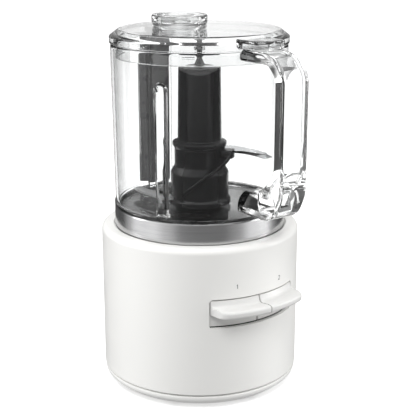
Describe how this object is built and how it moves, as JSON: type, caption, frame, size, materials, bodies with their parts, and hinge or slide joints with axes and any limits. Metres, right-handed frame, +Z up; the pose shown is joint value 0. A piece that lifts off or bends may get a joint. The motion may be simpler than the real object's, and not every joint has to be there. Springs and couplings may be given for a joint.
{
  "type": "food processor",
  "caption": "Cordless food processor: round battery base with two front paddles, clear handled bowl and lid with a pouring cap, and a bladed rotor on a central spindle.",
  "frame": {"origin": "middle of the object's footprint on the table, at the underside of the feet; the spindle axis is 18 mm behind it", "axes": "+Z up along the spindle, -Y towards the front where the paddles and the handle are, +X to the viewer's right seen from the front"},
  "size_m": [0.15, 0.186, 0.28],
  "materials": {
    "white_body": "satin moulded",
    "white_cover": "satin moulded",
    "white_paddle": "satin moulded",
    "white_battery": "satin moulded",
    "foot_rubber": "matte",
    "screw_steel": "zinc plated",
    "ring_metal": "brushed, satin",
    "dark_deck": "fine grained",
    "seal_rubber": "matte",
    "bearing_steel": "ground",
    "bush_bronze": "sintered",
    "plate_metal": "die cast",
    "motor_steel": "plated",
    "black_plastic": "moulded",
    "dark_plastic": "moulded",
    "magnet_dark": "ground ferrite",
    "armature_steel": "laminated and wound",
    "gear_plastic": "natural acetal",
    "board_green": "solder mask",
    "spring_steel": "drawn wire",
    "cell_wrap": "shrink sleeve",
    "grey_button": "fine grained",
    "clear_bowl": "clear polished plastic",
    "clear_handle": "clear polished plastic",
    "clear_lid": "clear polished plastic",
    "clear_cap": "clear polished plastic",
    "column_grey": "satin",
    "hub_black": "satin moulded",
    "blade_steel": "ground"
  },
  "bodies": {
    "base": {"base_housing": "white_body", "bottom_cover": "white_cover", "rubber_feet": "foot_rubber", "bottom_screws": "screw_steel", "trim_ring": "ring_metal", "deck_plate": "dark_deck", "shaft_seal": "seal_rubber", "upper_bearing": "bearing_steel", "lower_bush": "bush_bronze", "gearbox_plate": "plate_metal", "gearbox_screws": "screw_steel", "motor_can": "motor_steel", "motor_end_cap": "black_plastic", "motor_magnets": "magnet_dark", "motor_screws": "screw_steel", "control_board": "board_green", "board_components": "black_plastic", "paddle_frame": "black_plastic", "paddle_pivot_pin": "bearing_steel", "paddle_springs": "spring_steel", "paddle_switch_1": "black_plastic", "paddle_switch_2": "black_plastic", "lid_sensor": "board_green", "battery_bay": "dark_plastic", "battery_contacts": "black_plastic"},
    "motor_rotor": {"armature": "armature_steel", "drive_pinion": "bush_bronze"},
    "drive": {"drive_gear": "gear_plastic", "drive_shaft": "bearing_steel", "drive_coupling": "black_plastic"},
    "left_paddle": {"paddle_1": "white_paddle"},
    "right_paddle": {"paddle_2": "white_paddle"},
    "battery": {"battery_pack": "white_battery", "battery_cells": "cell_wrap"},
    "release_button": {"battery_release": "grey_button"},
    "bowl_assembly": {"bowl": "clear_bowl", "handle": "clear_handle", "interlock_column": "column_grey"},
    "interlock": {"interlock_rod": "dark_plastic", "interlock_magnet": "magnet_dark", "interlock_spring": "spring_steel"},
    "lid_assembly": {"lid": "clear_lid"},
    "cap": {"pouring_cap": "clear_cap"},
    "blade_assembly": {"blade_hub": "hub_black", "hub_cap": "hub_black", "upper_blade": "blade_steel", "lower_blade": "blade_steel"}
  },
  "joints": [
    {"name": "drive_spin", "type": "hinge", "parent": "base", "child": "drive", "pos_m": [0, 0.018, 0.1], "axis": [0, 0, 1], "continuous": true},
    {"name": "rotor_spin", "type": "hinge", "parent": "base", "child": "motor_rotor", "pos_m": [0, 0.042, 0.07], "axis": [0, 0, 1], "continuous": true},
    {"name": "paddle_1_press", "type": "hinge", "parent": "base", "child": "left_paddle", "pos_m": [-0.018, -0.034, 0.086], "axis": [1, 0, 0], "range_deg": [0, 5], "stiffness_Nm_per_rad": 1.5, "springref_deg": -2.86},
    {"name": "paddle_2_press", "type": "hinge", "parent": "base", "child": "right_paddle", "pos_m": [0.018, -0.034, 0.086], "axis": [1, 0, 0], "range_deg": [0, 5], "stiffness_Nm_per_rad": 1.5, "springref_deg": -2.86},
    {"name": "battery_slide", "type": "slide", "parent": "base", "child": "battery", "axis": [0, 1, 0], "range_m": [0, 0.1]},
    {"name": "battery_release_press", "type": "slide", "parent": "battery", "child": "release_button", "axis": [0, -1, 0], "range_m": [0, 0.0024], "stiffness_N_per_m": 600, "springref_m": -0.0015},
    {"name": "bowl_lift", "type": "slide", "parent": "base", "child": "bowl_assembly", "axis": [0, 0, 1], "range_m": [0, 0.06]},
    {"name": "blade_spin", "type": "hinge", "parent": "bowl_assembly", "child": "blade_assembly", "pos_m": [0, 0.018, 0.17], "axis": [0, 0, 1], "continuous": true},
    {"name": "interlock_press", "type": "slide", "parent": "bowl_assembly", "child": "interlock", "axis": [0, 0, -1], "range_m": [0, 0.003], "stiffness_N_per_m": 250, "springref_m": -0.004, "deforming": ["interlock_spring"]},
    {"name": "lid_lift", "type": "slide", "parent": "bowl_assembly", "child": "lid_assembly", "axis": [0, 0, 1], "range_m": [0, 0.05]},
    {"name": "cap_lift", "type": "slide", "parent": "lid_assembly", "child": "cap", "axis": [0, 0, 1], "range_m": [0, 0.03]}
  ],
  "couplings": [
    {"joint": "rotor_spin", "follows": "drive_spin", "ratio": -3},
    {"joint": "blade_spin", "follows": "drive_spin", "ratio": 1}
  ]
}
